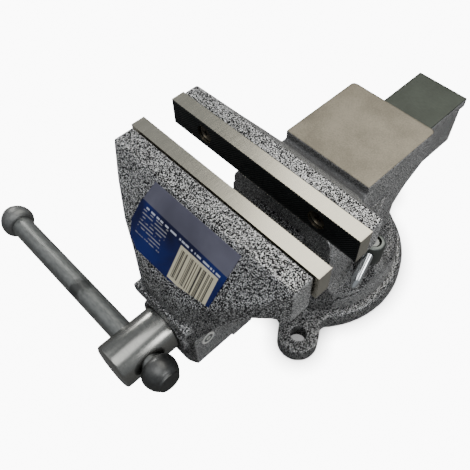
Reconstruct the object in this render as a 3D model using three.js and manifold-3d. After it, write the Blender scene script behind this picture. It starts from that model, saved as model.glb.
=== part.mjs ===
// Bench vise: a round swivel base with three bolting lugs, a fixed jaw with an anvil behind it,
// and a moving jaw on a square slide bar, driven by a screw with a sliding cross handle.
//
// Millimetres, +Z up. The origin is on the swivel axis at the bench surface. +Y runs from the
// handle end to the anvil end, and +X is to the right of a person who stands at the handle.

import * as THREE from "three";
import { mergeVertices } from "three/addons/utils/BufferGeometryUtils.js";
import Module from "manifold-3d";

const wasm = await Module();
wasm.setup();

// ---------------------------------------------------------------- driving dimensions

const FIT = 0.3; // gap between pieces that touch
const RUN = 0.4; // clearance round pieces that slide

const JAW_WIDTH = 125;
const JAW_TOP = 129;
const JAW_GAP = 17.8; // opening between the jaw faces as drawn
const FIXED_FACE_Y = -55; // face of the fixed jaw plate
const MOVING_FACE_Y = FIXED_FACE_Y - JAW_GAP;

const PLATE_DEPTH = 8.2;
const PLATE_HEIGHT = 16;
const PLATE_SCREW_X = 38;
const PLATE_BOTTOM = JAW_TOP - PLATE_HEIGHT;
const SCREW_Z = JAW_TOP - PLATE_HEIGHT / 2;
const SCREW_SHANK_R = 3;
const SCREW_HEAD_R = 4.6;
const SCREW_SUNK = { top: 1.4, rim: 2, cone: 4.5 }; // depths below the plate's face
const SCREW_HOLE_DEPTH = 10; // blind holes in the castings
const MOVING_PLATE_GAP = 0.9; // open line behind the moving plate

const BASE_R = 60.3;
const BASE_TOP = 12;
const LUG_ANGLES = [-55, -125, 90]; // degrees from +X
const LUG_RADIUS = 71; // from the swivel axis to the bolt hole
const LUG_R = 12.5;
const LUG_HOLE_R = 5;
const PIVOT_R = 12;
const PIVOT_TOP = 20;

const LOCK_RADIUS = 43; // from the swivel axis to each lock bolt
const LOCK_BOLT_R = 4;
const LOCK_HEAD = { half: 7.5, bottom: 2.8, top: 6.2 };
const SLOT = { floor: 2.5, ledge: 6.5, half: 9, neckHalf: 4.4 };
const LOCK_SEAT = 38; // top of the pads that the lock nuts clamp
const LOCK_NUT_R = 6.8;
const LOCK_NUT_HEIGHT = 15.4;
const LEVER_R = 3;
const LEVER_REACH = 28.5; // from the nut's axis to the lever's tip
const LEVER_Z = 50;
const LEVER_DROP = 24; // degrees below level
const LEVER_SWING = 74; // degrees in front of the sideways direction

const DISC_R = 54.5;
const DISC_TOP = 24;
const TUNNEL_HALF = 30.8; // also half of the anvil's width
const TUNNEL_FRONT = -36;
const TUNNEL_REAR = 36;
const NECK_HALF = 38.5;
const ANVIL_TOP = 90.8;
const ANVIL_FRONT = 0.3;
const ANVIL_REAR = 61.4;
const ANVIL_CORNER_R = 3;

const BAR_HALF = 17;
const LIP_HALF = 18.8;
const BAR_TOP = 70;
const LIP_BOTTOM = 63;
const BAR_BOTTOM = 30;
const BAR_REAR = 122.5;
const CHANNEL_HALF = 12; // the bar is hollow underneath, for the screw
const CHANNEL_TOP = 66;
const CHANNEL_FRONT = -105;

const NOSE_HALF = 60.5;
const RIDGE_Y = MOVING_FACE_Y - PLATE_DEPTH - 12.3;
const NOSE_FRONT = -121.5;
const BOX_HALF = 20;
const COLLAR_R = 16.5;
const COLLAR_FRONT = -123.8;
const COUNTERBORE_REAR = -118;
const BROW_TOP = 76;
const HOLLOW = { x: -8, y: -120.4, halfX: 5.5, halfY: 2.4, floor: 73.6 };

const SCREW_AXIS_Z = 54.5;
const SPINDLE_R = 7.5;
const SPINDLE_REAR = 115;
const HEAD_R = 13;
const HEAD_FRONT = -157;
const HEAD_REAR = COUNTERBORE_REAR - 2.6;
const HANDLE_Y = -141;
const HANDLE_R = 6.4;
const HANDLE_TILT = 4.2; // degrees, right end up
const HANDLE_LEFT = -118; // ends of the plain bar, from the screw's axis
const HANDLE_RIGHT = 13.6;
const KNOB_R = 10;
const KNOB_LENGTH = 13.6;
const SPIGOT_R = 4;
const SPIGOT_LENGTH = 8;

const NUT_FRONT = -34;
const NUT_REAR = -6;
const NUT_BOLT_Y = -22;
const NUT_BOLT_R = 4;

const STICKER_R = 4.2;

// ---------------------------------------------------------------- finishes

const finish = (color, roughness, metalness) => ({ color, roughness, metalness });
const HAMMERTONE = finish(0x7c7f80, 0.45, 0.5);
const GROUND_STEEL = finish(0xb4b0a4, 0.35, 1.0);
const DARK_STEEL = finish(0x4c4f4d, 0.45, 0.9);
const TURNED_STEEL = finish(0x8d8f90, 0.35, 1.0);
const BRIGHT_ZINC = finish(0xc4c8cc, 0.25, 1.0);
const BRASSY_ZINC = finish(0x8a7a52, 0.35, 1.0);
const LABEL_BLUE = finish(0x1c2f78, 0.4, 0.0);
const STICKER_WHITE = finish(0xd9d8d0, 0.5, 0.0);

// ---------------------------------------------------------------- solids

// A closed three.js geometry as a solid that can be joined and cut.
function solid(geometry) {
  const bare = geometry.clone();
  bare.deleteAttribute("normal");
  bare.deleteAttribute("uv");
  const merged = mergeVertices(bare, 1e-4);
  return new wasm.Manifold(
    new wasm.Mesh({
      numProp: 3,
      vertProperties: new Float32Array(merged.attributes.position.array),
      triVerts: new Uint32Array(merged.index.array),
    }),
  );
}

function geometryOf(body) {
  const mesh = body.getMesh();
  const geometry = new THREE.BufferGeometry();
  geometry.setAttribute("position", new THREE.BufferAttribute(mesh.vertProperties, 3));
  geometry.setIndex(new THREE.BufferAttribute(mesh.triVerts, 1));
  geometry.computeVertexNormals();
  return geometry;
}

const join = (first, ...others) => others.reduce((whole, part) => whole.add(part), first);
const cut = (first, ...others) => others.reduce((whole, part) => whole.subtract(part), first);
const common = (first, ...others) => others.reduce((whole, part) => whole.intersect(part), first);

function box([x0, x1], [y0, y1], [z0, z1]) {
  const geometry = new THREE.BoxGeometry(x1 - x0, y1 - y0, z1 - z0);
  geometry.translate((x0 + x1) / 2, (y0 + y1) / 2, (z0 + z1) / 2);
  return solid(geometry);
}

const wide = (half) => [-half, half];

// A solid of revolution from [radius, height] points; the axis is +Z through x, y.
function upright(profile, { x = 0, y = 0, sides = 24 } = {}) {
  const points = profile.map(([radius, height]) => new THREE.Vector2(radius, height));
  const geometry = new THREE.LatheGeometry(points, sides);
  geometry.rotateX(Math.PI / 2);
  geometry.translate(x, y, 0);
  return solid(geometry);
}

// The same with its axis along +Y through x, z; the profile's heights are Y positions.
function lengthwise(profile, { x = 0, z = 0, sides = 24 } = {}) {
  const points = profile.map(([radius, height]) => new THREE.Vector2(radius, height));
  const geometry = new THREE.LatheGeometry(points, sides);
  geometry.translate(x, 0, z);
  return solid(geometry);
}

const rod = (radius, low, high) => [[0, low], [radius, low], [radius, high], [0, high]];

// An outline through [x, y, radius] corners; a corner with a radius is turned with an arc.
function outline(corners) {
  const shape = new THREE.Shape();
  const at = (i) => new THREE.Vector2(...corners[(i + corners.length) % corners.length]);
  corners.forEach(([, , radius = 0], i) => {
    const corner = at(i);
    const back = at(i - 1).sub(corner).normalize();
    const ahead = at(i + 1).sub(corner).normalize();
    const half = Math.acos(back.dot(ahead)) / 2;
    const from = corner.clone().addScaledVector(back, radius / Math.tan(half));
    if (i === 0) shape.moveTo(from.x, from.y);
    else shape.lineTo(from.x, from.y);
    if (radius === 0) return;
    const to = corner.clone().addScaledVector(ahead, radius / Math.tan(half));
    const middle = back.clone().add(ahead).normalize();
    const centre = corner.clone().addScaledVector(middle, radius / Math.sin(half));
    const start = from.sub(centre).angle();
    const end = to.sub(centre).angle();
    shape.absarc(centre.x, centre.y, radius, start, end, back.cross(ahead) > 0);
  });
  return shape;
}

function extruded(corners, [low, high], arcSteps = 3) {
  const settings = { depth: high - low, bevelEnabled: false, curveSegments: arcSteps };
  const geometry = new THREE.ExtrudeGeometry(outline(corners), settings);
  return geometry.translate(0, 0, low);
}

const AXIS_X = new THREE.Vector3(1, 0, 0);
const AXIS_Y = new THREE.Vector3(0, 1, 0);
const AXIS_Z = new THREE.Vector3(0, 0, 1);

// An outline seen from above, extruded between two heights.
const planShape = (corners, heights, arcSteps) => solid(extruded(corners, heights, arcSteps));

// An outline seen from the side, in Y and Z, extruded along X.
function sideShape(corners, widths, arcSteps) {
  const turn = new THREE.Matrix4().makeBasis(AXIS_Y, AXIS_Z, AXIS_X);
  return solid(extruded(corners, widths, arcSteps).applyMatrix4(turn));
}

// An outline seen from the front, in X and Z, extruded along Y.
function frontShape(corners, [front, rear], arcSteps) {
  const turn = new THREE.Matrix4().makeBasis(AXIS_X, AXIS_Z, AXIS_Y.clone().negate());
  return solid(extruded(corners, [-rear, -front], arcSteps).applyMatrix4(turn));
}

// The right half of an outline, mirrored in x = 0; corners run from the top centre downwards.
function mirrored(rightHalf) {
  const leftHalf = rightHalf.map(([x, ...rest]) => [-x, ...rest]).reverse();
  return [...leftHalf, ...rightHalf];
}

const radians = THREE.MathUtils.degToRad;
const vise = new THREE.Group();

function piece(name, body, look, group = vise) {
  const mesh = new THREE.Mesh(geometryOf(body), new THREE.MeshStandardMaterial(look));
  mesh.name = name;
  group.add(mesh);
  return mesh;
}

// ---------------------------------------------------------------- swivel base

// Round plate with a circular T-slot for the lock bolts and a raised pivot in the middle.
function swivelBase() {
  const slotIn = LOCK_RADIUS - SLOT.half;
  const slotOut = LOCK_RADIUS + SLOT.half;
  const neckIn = LOCK_RADIUS - SLOT.neckHalf;
  const neckOut = LOCK_RADIUS + SLOT.neckHalf;
  const plate = upright(
    [
      [0, 0], [BASE_R, 0], [BASE_R - 0.6, 8.5], [BASE_R - 1.4, 10.8], [BASE_R - 3.2, BASE_TOP],
      [neckOut, BASE_TOP], [neckOut, SLOT.ledge], [slotOut, SLOT.ledge], [slotOut, SLOT.floor],
      [slotIn, SLOT.floor], [slotIn, SLOT.ledge], [neckIn, SLOT.ledge], [neckIn, BASE_TOP],
      [PIVOT_R, BASE_TOP], [PIVOT_R, PIVOT_TOP], [0, PIVOT_TOP],
    ],
    { sides: 60 },
  );
  const ear = [
    [slotOut + 1, 17], [BASE_R - 4, 17], [BASE_R + 1, LUG_R, 5],
    [LUG_RADIUS + LUG_R, LUG_R, LUG_R - 0.1], [LUG_RADIUS + LUG_R, -LUG_R, LUG_R - 0.1],
    [BASE_R + 1, -LUG_R, 5], [BASE_R - 4, -17], [slotOut + 1, -17],
  ];
  const lugs = LUG_ANGLES.map((angle) =>
    planShape(ear, [0, BASE_TOP], 4).rotate([0, 0, angle]),
  );
  const holes = LUG_ANGLES.map((angle) =>
    upright(rod(LUG_HOLE_R, -1, BASE_TOP + 1), { x: LUG_RADIUS }).rotate([0, 0, angle]),
  );
  const entry = upright(rod(SLOT.half + 0.3, SLOT.floor, BASE_TOP + 1), { y: LOCK_RADIUS });
  return cut(join(plate, ...lugs), ...holes, entry);
}

piece("swivel_base", swivelBase(), HAMMERTONE);

// ---------------------------------------------------------------- fixed jaw body

const FIXED_CASTING_Y = FIXED_FACE_Y + PLATE_DEPTH + FIT;
const FIXED_BACK_Y = FIXED_CASTING_Y + 12;
const VALLEY_Z = 84.5;
const FIXED_HALF = 62;

// Round foot that turns on the base, flaring up into the tunnel walls.
function foot() {
  const bottom = BASE_TOP + FIT;
  const socketR = PIVOT_R + FIT;
  const socketTop = PIVOT_TOP + FIT;
  return upright(
    [
      [0, socketTop], [socketR, socketTop], [socketR, bottom], [DISC_R, bottom],
      [DISC_R - 0.4, 20], [DISC_R - 1.2, 22.6], [DISC_R - 3, DISC_TOP], [47, 25.4],
      [42, 28.6], [38.5, 33], [36.5, 39], [36, 46], [0, 46],
    ],
    { sides: 60 },
  );
}

// Upper part of the casting: the wide jaw, its sloping back and the waist under its ends.
function fixedHead() {
  const fromTheFront = frontShape(
    mirrored([
      [FIXED_HALF, JAW_TOP, 1], [FIXED_HALF, 111, 2], [48, 105, 8], [29, 94, 8],
      [28, 86.5, 3], [37, 77.5, 6], [NECK_HALF, 60],
    ]),
    [FIXED_CASTING_Y, ANVIL_FRONT],
    3,
  );
  const fromAbove = planShape(
    mirrored([
      [TUNNEL_HALF, ANVIL_FRONT], [37, -16], [43, -26, 8], [56, FIXED_BACK_Y + 0.6, 3],
      [FIXED_HALF, FIXED_BACK_Y - 4, 2.5], [FIXED_HALF, FIXED_CASTING_Y],
    ]),
    [60, JAW_TOP],
    3,
  );
  const fromTheSide = sideShape(
    [
      [FIXED_CASTING_Y, JAW_TOP], [FIXED_CASTING_Y, 106], [TUNNEL_FRONT, 88],
      [TUNNEL_FRONT, 60], [ANVIL_FRONT, 60], [ANVIL_FRONT, VALLEY_Z + 1.5],
      [ANVIL_FRONT - 1.5, VALLEY_Z], [ANVIL_FRONT - 4, VALLEY_Z + 1],
      [FIXED_BACK_Y, JAW_TOP - 5], [FIXED_BACK_Y - 4, JAW_TOP],
    ],
    wide(JAW_WIDTH / 2),
  );
  return common(fromAbove, fromTheFront, fromTheSide);
}

// Tunnel that the slide bar runs in, with the anvil block on top.
function tunnelAndAnvil() {
  const walls = sideShape(
    [
      [TUNNEL_FRONT, 20], [TUNNEL_REAR, 20], [TUNNEL_REAR, 46, 4], [44, 57, 12],
      [ANVIL_REAR, 70, 2], [ANVIL_REAR, ANVIL_TOP], [ANVIL_FRONT, ANVIL_TOP],
      [ANVIL_FRONT, VALLEY_Z], [TUNNEL_FRONT, VALLEY_Z],
    ],
    wide(TUNNEL_HALF),
  );
  const anvilPlan = planShape(
    [
      [-TUNNEL_HALF, TUNNEL_FRONT - 1], [TUNNEL_HALF, TUNNEL_FRONT - 1],
      [TUNNEL_HALF, ANVIL_REAR, ANVIL_CORNER_R], [-TUNNEL_HALF, ANVIL_REAR, ANVIL_CORNER_R],
    ],
    [10, 120],
  );
  const ledge = planShape(
    mirrored([
      [TUNNEL_HALF - 1, 27], [TUNNEL_HALF, 26], [NECK_HALF, 4, 14], [NECK_HALF, TUNNEL_FRONT],
    ]),
    [60, 68],
  );
  return join(common(walls, anvilPlan), ledge, neck());
}

// Wide front wall under the fixed jaw, flaring out at its foot.
function neck() {
  const fromTheFront = frontShape(
    mirrored([
      [NECK_HALF, 68], [NECK_HALF, 46], [39.5, 37], [42.5, 29], [48, 24.5], [54, 22.5], [54, 20],
    ]),
    [-60, -13],
  );
  const fromTheSide = sideShape(
    [
      [TUNNEL_FRONT, 68], [TUNNEL_FRONT, 44], [-37, 36], [-40, 29], [-45, 24.8], [-52, 22.5],
      [-52, 20], [-13, 20], [-13, 68],
    ],
    wide(60),
  );
  const round = upright(rod(DISC_R - 2, 15, 70), { sides: 60 });
  return common(fromTheFront, fromTheSide, round);
}

const lockX = (side) => side * LOCK_RADIUS;

function fixedBody() {
  const padProfile = [
    [0, 20], [17, 20], [17, DISC_TOP - 0.5], [13.5, 26], [10.8, 30], [LOCK_NUT_R + 1.5, 35],
    [LOCK_NUT_R + 1, LOCK_SEAT], [0, LOCK_SEAT],
  ];
  const round = upright(rod(DISC_R - 2, 15, 70), { sides: 60 });
  const pads = [1, -1].map((side) => common(upright(padProfile, { x: lockX(side) }), round));
  const boltHoles = [1, -1].map((side) =>
    upright(rod(LOCK_BOLT_R + RUN, BASE_TOP, LOCK_SEAT + 1), { x: lockX(side) }),
  );
  const reliefs = [1, -1].map((side) =>
    upright(rod(LOCK_NUT_R + 2, LOCK_SEAT, 60), { x: lockX(side) }),
  );
  const length = [-60, 80];
  const barSpace = box(wide(BAR_HALF + RUN), length, [BAR_BOTTOM - RUN, LIP_BOTTOM]);
  const lipSpace = box(wide(LIP_HALF + RUN), length, [LIP_BOTTOM - RUN, BAR_TOP + RUN]);
  const boltHole = upright(rod(NUT_BOLT_R + RUN, 15, BAR_BOTTOM), { y: NUT_BOLT_Y });
  const counterbore = upright(rod(7.6, BASE_TOP, 19), { y: NUT_BOLT_Y });
  const casting = join(foot(), fixedHead(), tunnelAndAnvil(), ...pads);
  return cut(
    casting, ...boltHoles, ...reliefs, barSpace, lipSpace, boltHole, counterbore,
    ...plateScrewHoles(FIXED_CASTING_Y, 1),
  );
}

// ---------------------------------------------------------------- jaw plates and screws

// Holes in a casting behind its plate; side is +1 when the casting lies towards +Y.
function plateScrewHoles(castingY, side) {
  const ends = [castingY - side, castingY + side * SCREW_HOLE_DEPTH].sort((a, b) => a - b);
  return [1, -1].map((end) =>
    lengthwise(rod(SCREW_SHANK_R + FIT, ...ends), { x: end * PLATE_SCREW_X, z: SCREW_Z }),
  );
}

// Countersunk screw outline on a plate's face, from a starting depth, pointing towards side.
function countersunk(faceY, side, start, grow) {
  const head = SCREW_HEAD_R + grow;
  const shank = SCREW_SHANK_R + grow;
  const { rim, cone } = SCREW_SUNK;
  const profile = [[0, start], [head, start], [head, rim], [shank, cone], [shank, 17], [0, 17]];
  const placed = profile.map(([radius, depth]) => [radius, faceY + side * depth]);
  return side > 0 ? placed : placed.reverse();
}

function jawPlate(faceY, side) {
  const [front, rear] = [faceY, faceY + side * PLATE_DEPTH].sort((a, b) => a - b);
  const blank = box(wide(JAW_WIDTH / 2), [front, rear], [PLATE_BOTTOM, JAW_TOP]);
  const holes = [1, -1].map((end) =>
    lengthwise(countersunk(faceY, side, -0.1, RUN), { x: end * PLATE_SCREW_X, z: SCREW_Z }),
  );
  return cut(blank, ...holes);
}

function plateScrew(faceY, side, end) {
  const x = end * PLATE_SCREW_X;
  const body = lengthwise(countersunk(faceY, side, SCREW_SUNK.top, 0), { x, z: SCREW_Z });
  const depth = [faceY, faceY + side * 3.6].sort((a, b) => a - b);
  const recess = [[2.4, 0.5], [0.5, 2.4]].map(([halfX, halfZ]) =>
    box([x - halfX, x + halfX], depth, [SCREW_Z - halfZ, SCREW_Z + halfZ]),
  );
  return cut(body, ...recess);
}

piece("fixed_jaw_body", fixedBody(), HAMMERTONE);
piece("fixed_jaw_plate", jawPlate(FIXED_FACE_Y, 1), GROUND_STEEL);
piece("fixed_plate_screw_right", plateScrew(FIXED_FACE_Y, 1, 1), BRASSY_ZINC);
piece("fixed_plate_screw_left", plateScrew(FIXED_FACE_Y, 1, -1), BRASSY_ZINC);

// ---------------------------------------------------------------- moving jaw

const MOVING_CASTING_Y = MOVING_FACE_Y - PLATE_DEPTH - MOVING_PLATE_GAP;
const FACE_TOP = { y: RIDGE_Y, z: JAW_TOP }; // ridge at the front of the jaw's top
const FACE_BOTTOM = { y: -118.5, z: 94 }; // foot of the sloping front face

// Wedge-shaped nose: straight from above, a shield from the front, leaning out to the collar.
function nose() {
  const fromAbove = planShape(
    mirrored([
      [NOSE_HALF, MOVING_CASTING_Y], [NOSE_HALF, RIDGE_Y, 1.5], [49.5, -102, 10],
      [36, -110.8, 10], [22.5, -117], [14.5, NOSE_FRONT, 4],
    ]),
    [BAR_BOTTOM, JAW_TOP],
    3,
  );
  const fromTheFront = frontShape(
    mirrored([
      [NOSE_HALF, JAW_TOP], [NOSE_HALF, 104, 1.5], [54, 105.5, 5], [46, 103, 8],
      [34, 88, 20], [25, 70, 16], [BOX_HALF, 59, 10], [BOX_HALF, BAR_BOTTOM],
    ]),
    [NOSE_FRONT - 1, MOVING_CASTING_Y + 1],
    3,
  );
  const fromTheSide = sideShape(
    [
      [MOVING_CASTING_Y, JAW_TOP], [FACE_TOP.y, FACE_TOP.z], [FACE_BOTTOM.y, FACE_BOTTOM.z, 12],
      [NOSE_FRONT, 84], [NOSE_FRONT, BAR_BOTTOM + 1.5], [NOSE_FRONT + 1.5, BAR_BOTTOM],
      [MOVING_CASTING_Y, BAR_BOTTOM],
    ],
    wide(JAW_WIDTH),
  );
  return common(fromAbove, fromTheFront, fromTheSide);
}

// Brow over the screw's head, with an oval hollow in its top, and a low heel behind the nose.
function browAndHeel() {
  const brow = frontShape(
    mirrored([[20.5, BROW_TOP, 2.5], [20.5, 69, 2.5]]),
    [COLLAR_FRONT, -114],
  );
  const { x, y, halfX, halfY, floor } = HOLLOW;
  const hollow = upright([[0, floor], [0.5, floor], [1, BROW_TOP], [1, BROW_TOP + 1], [0, BROW_TOP + 1]])
    .scale([halfX, halfY, 1])
    .translate([x, y, 0]);
  const heel = box(wide(BOX_HALF), [-92, -77], [BAR_BOTTOM - 3, 45]);
  return join(cut(brow, hollow), heel);
}

// Square bar with side lips along its top; the screw runs in the channel underneath.
function slideBar() {
  const web = box(wide(BAR_HALF), [NOSE_FRONT + 5, BAR_REAR], [BAR_BOTTOM, BAR_TOP]);
  const lips = box(wide(LIP_HALF), [MOVING_CASTING_Y - 5, BAR_REAR], [LIP_BOTTOM, BAR_TOP]);
  return join(web, lips);
}

function movingJaw() {
  const along = { z: SCREW_AXIS_Z, sides: 32 };
  const collar = lengthwise(
    [
      [0, COLLAR_FRONT], [COLLAR_R - 1, COLLAR_FRONT], [COLLAR_R, COLLAR_FRONT + 1],
      [COLLAR_R, -116], [0, -116],
    ],
    along,
  );
  const counterbore = lengthwise(rod(HEAD_R + 0.5, COLLAR_FRONT - 1, COUNTERBORE_REAR), along);
  const bore = lengthwise(rod(SPINDLE_R + RUN, COLLAR_FRONT - 1, CHANNEL_FRONT + 1), along);
  const channel = box(wide(CHANNEL_HALF), [CHANNEL_FRONT, BAR_REAR + 1], [BAR_BOTTOM - 1, CHANNEL_TOP]);
  return cut(
    join(nose(), browAndHeel(), slideBar(), collar), counterbore, bore, channel,
    ...plateScrewHoles(MOVING_CASTING_Y, -1),
  );
}

piece("moving_jaw", movingJaw(), HAMMERTONE);
piece("moving_jaw_plate", jawPlate(MOVING_FACE_Y, -1), GROUND_STEEL);
piece("moving_plate_screw_right", plateScrew(MOVING_FACE_Y, -1, 1), BRASSY_ZINC);
piece("moving_plate_screw_left", plateScrew(MOVING_FACE_Y, -1, -1), BRASSY_ZINC);

// A flat label on the sloping front face, its lower corners trimmed to the face's edges.
function frontLabel() {
  const thickness = 0.4;
  const slope = Math.hypot(FACE_TOP.y - FACE_BOTTOM.y, FACE_TOP.z - FACE_BOTTOM.z);
  const sheet = extruded(
    [
      [31.4, -2.6], [-26.1, -2.6], [-30, -17], [-31, -27], [-28, -34.5], [-21.3, -38.3],
      [3.4, -38.3], [28.8, -33.8],
    ],
    [0.2, 0.2 + thickness],
  );
  const down = new THREE.Vector3(0, FACE_TOP.y - FACE_BOTTOM.y, FACE_TOP.z - FACE_BOTTOM.z);
  const up = down.divideScalar(slope);
  const outward = AXIS_X.clone().cross(up);
  sheet.applyMatrix4(new THREE.Matrix4().makeBasis(AXIS_X, up, outward));
  return solid(sheet.translate(0, FACE_TOP.y, FACE_TOP.z));
}

piece("front_label", frontLabel(), LABEL_BLUE);

function roundSticker() {
  const disc = upright(rod(STICKER_R, 0.15, 0.55), { sides: 32 });
  return disc.rotate([0, 90, 0]).translate([BOX_HALF, -109.8, 51.5]);
}

piece("round_sticker", roundSticker(), STICKER_WHITE);

// ---------------------------------------------------------------- screw and its fittings

// Everything that turns with the screw is drawn with the handle level, then tilted with it.
const turning = new THREE.Group();
turning.position.set(0, 0, SCREW_AXIS_Z);
turning.rotation.y = -radians(HANDLE_TILT);
vise.add(turning);

const SPRING = { front: CHANNEL_FRONT + 0.6, rear: -93, coilR: 9.3, wireR: 0.9, turns: 4 };
const KEEPER = { front: SPRING.rear + 0.3, thickness: 2, radius: 10.8 };
const PIN_Y = KEEPER.front + KEEPER.thickness + 2.2;
const PIN_R = 1.6;

function spindle() {
  const body = lengthwise(
    [
      [0, HEAD_FRONT], [HEAD_R - 1.5, HEAD_FRONT], [HEAD_R, HEAD_FRONT + 1.5],
      [HEAD_R, HEAD_REAR - 1], [HEAD_R - 1, HEAD_REAR], [SPINDLE_R, HEAD_REAR],
      [SPINDLE_R, SPINDLE_REAR - 2], [SPINDLE_R - 2, SPINDLE_REAR], [0, SPINDLE_REAR],
    ],
    { sides: 32 },
  );
  const across = solid(
    new THREE.CylinderGeometry(HANDLE_R + FIT, HANDLE_R + FIT, 4 * HEAD_R, 32)
      .rotateZ(Math.PI / 2)
      .translate(0, HANDLE_Y, 0),
  );
  const pinHole = upright(rod(PIN_R + FIT, -20, 20), { y: PIN_Y, sides: 12 });
  return cut(body, across, pinHole);
}

piece("spindle", spindle(), TURNED_STEEL, turning);

function ring(inner, outer, low, high, sides = 32) {
  return lengthwise(
    [[inner, low], [outer, low], [outer, high], [inner, high], [inner, low]],
    { sides },
  );
}

piece(
  "thrust_washer",
  ring(SPINDLE_R + FIT, HEAD_R, HEAD_REAR + FIT, COUNTERBORE_REAR - FIT),
  BRIGHT_ZINC,
  turning,
);

class Helix extends THREE.Curve {
  getPoint(t, target = new THREE.Vector3()) {
    const angle = 2 * Math.PI * SPRING.turns * t;
    const low = SPRING.front + SPRING.wireR;
    const high = SPRING.rear - SPRING.wireR;
    return target.set(
      SPRING.coilR * Math.cos(angle),
      low + (high - low) * t,
      SPRING.coilR * Math.sin(angle),
    );
  }
}

function takeUpSpring() {
  const wire = new THREE.Shape();
  wire.absarc(0, 0, SPRING.wireR, 0, 2 * Math.PI);
  const settings = { steps: 14 * SPRING.turns, extrudePath: new Helix(), curveSegments: 3 };
  return solid(new THREE.ExtrudeGeometry(wire, settings));
}

piece("take_up_spring", takeUpSpring(), DARK_STEEL, turning);
piece(
  "spring_keeper",
  ring(SPINDLE_R + FIT, KEEPER.radius, KEEPER.front, KEEPER.front + KEEPER.thickness),
  BRIGHT_ZINC,
  turning,
);
piece(
  "keeper_pin",
  upright(rod(PIN_R, -10.4, 10.4), { y: PIN_Y, sides: 12 }),
  BRIGHT_ZINC,
  turning,
);

function handleBar() {
  const bar = lengthwise(
    [
      [0, HANDLE_LEFT - SPIGOT_LENGTH], [SPIGOT_R, HANDLE_LEFT - SPIGOT_LENGTH],
      [SPIGOT_R, HANDLE_LEFT], [HANDLE_R, HANDLE_LEFT], [HANDLE_R, HANDLE_RIGHT],
      [SPIGOT_R, HANDLE_RIGHT], [SPIGOT_R, HANDLE_RIGHT + SPIGOT_LENGTH],
      [0, HANDLE_RIGHT + SPIGOT_LENGTH],
    ],
    { sides: 32 },
  );
  return bar.rotate([0, 0, -90]).translate([0, HANDLE_Y, 0]);
}

piece("handle_bar", handleBar(), BRIGHT_ZINC, turning);

// Barrel-shaped end knob on the bar's spigot; side is +1 for the right end.
function knob(side) {
  const bore = SPIGOT_R + FIT;
  const start = FIT;
  const body = lengthwise(
    [
      [bore, start], [HANDLE_R + 0.9, start], [KNOB_R - 0.9, 1.8], [KNOB_R, 4.4],
      [KNOB_R - 0.3, 7.4], [KNOB_R - 1.3, 10.2], [KNOB_R - 2.7, 12.4], [KNOB_R - 4, KNOB_LENGTH],
      [0, KNOB_LENGTH], [0, SPIGOT_LENGTH + 0.5], [bore, SPIGOT_LENGTH + 0.5], [bore, start],
    ],
    { sides: 32 },
  );
  const end = side > 0 ? HANDLE_RIGHT : HANDLE_LEFT;
  return body.rotate([0, 0, -90 * side]).translate([end, HANDLE_Y, 0]);
}

piece("handle_knob_right", knob(1), DARK_STEEL, turning);
piece("handle_knob_left", knob(-1), DARK_STEEL, turning);

// ---------------------------------------------------------------- screw nut in the tunnel

function screwNut() {
  const floor = BAR_BOTTOM - RUN + FIT;
  const block = frontShape(
    [
      [11.5, floor], [11.5, CHANNEL_TOP - 0.5, 4], [-11.5, CHANNEL_TOP - 0.5, 4],
      [-11.5, floor],
    ],
    [NUT_FRONT, NUT_REAR],
  );
  const bore = lengthwise(rod(SPINDLE_R + RUN, NUT_FRONT - 1, NUT_REAR + 1), {
    z: SCREW_AXIS_Z,
    sides: 32,
  });
  const tapped = upright(rod(NUT_BOLT_R + FIT, floor - 1, 44), { y: NUT_BOLT_Y });
  return cut(block, bore, tapped);
}

function nutBolt() {
  const hexHead = upright(rod(6.9, 12.9, 18.6), { y: NUT_BOLT_Y, sides: 6 });
  return join(hexHead, upright(rod(NUT_BOLT_R, 18, 43.5), { y: NUT_BOLT_Y }));
}

piece("screw_nut", screwNut(), DARK_STEEL);
piece("nut_bolt", nutBolt(), BRIGHT_ZINC);

// ---------------------------------------------------------------- swivel locks

function lockBolt(side) {
  const x = lockX(side);
  const { half, bottom, top } = LOCK_HEAD;
  const head = box([x - half, x + half], wide(half), [bottom, top]);
  const nutTop = LOCK_SEAT + FIT + LOCK_NUT_HEIGHT;
  const shank = [
    [0, top - 1], [LOCK_BOLT_R, top - 1], [LOCK_BOLT_R, nutTop - 2],
    [LOCK_BOLT_R - 1, nutTop - 1], [0, nutTop - 1],
  ];
  return join(head, upright(shank, { x }));
}

// Direction of a lock lever: outwards, swung to the front, and sloping down.
function leverTurn(side) {
  const yaw = side > 0 ? -LEVER_SWING : LEVER_SWING - 180;
  return [0, 90 + LEVER_DROP, yaw];
}

function lockNut(side) {
  const bottom = LOCK_SEAT + FIT;
  const top = bottom + LOCK_NUT_HEIGHT;
  const bore = LOCK_BOLT_R + FIT;
  const body = upright(
    [
      [bore, bottom], [LOCK_NUT_R, bottom], [LOCK_NUT_R, top - 1.2], [LOCK_NUT_R - 1.2, top],
      [bore, top], [bore, bottom],
    ],
    { sides: 32 },
  );
  const leverHole = upright(rod(LEVER_R + FIT, 5, LOCK_NUT_R + 6), { sides: 20 });
  const placed = leverHole.rotate(leverTurn(side)).translate([0, 0, LEVER_Z]);
  return cut(body, placed).translate([lockX(side), 0, 0]);
}

function lockLever(side) {
  const root = 6.1;
  const lever = upright(
    [
      [0, root], [LEVER_R, root], [LEVER_R, LEVER_REACH - 5],
      [LEVER_R - 1.4, LEVER_REACH - 0.6], [LEVER_R - 1.9, LEVER_REACH], [0, LEVER_REACH],
    ],
    { sides: 20 },
  );
  return lever.rotate(leverTurn(side)).translate([lockX(side), 0, LEVER_Z]);
}

for (const [name, side] of [["right", 1], ["left", -1]]) {
  piece(`lock_bolt_${name}`, lockBolt(side), BRIGHT_ZINC);
  piece(`lock_nut_${name}`, lockNut(side), TURNED_STEEL);
  piece(`lock_lever_${name}`, lockLever(side), BRIGHT_ZINC);
}

export default vise;
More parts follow.
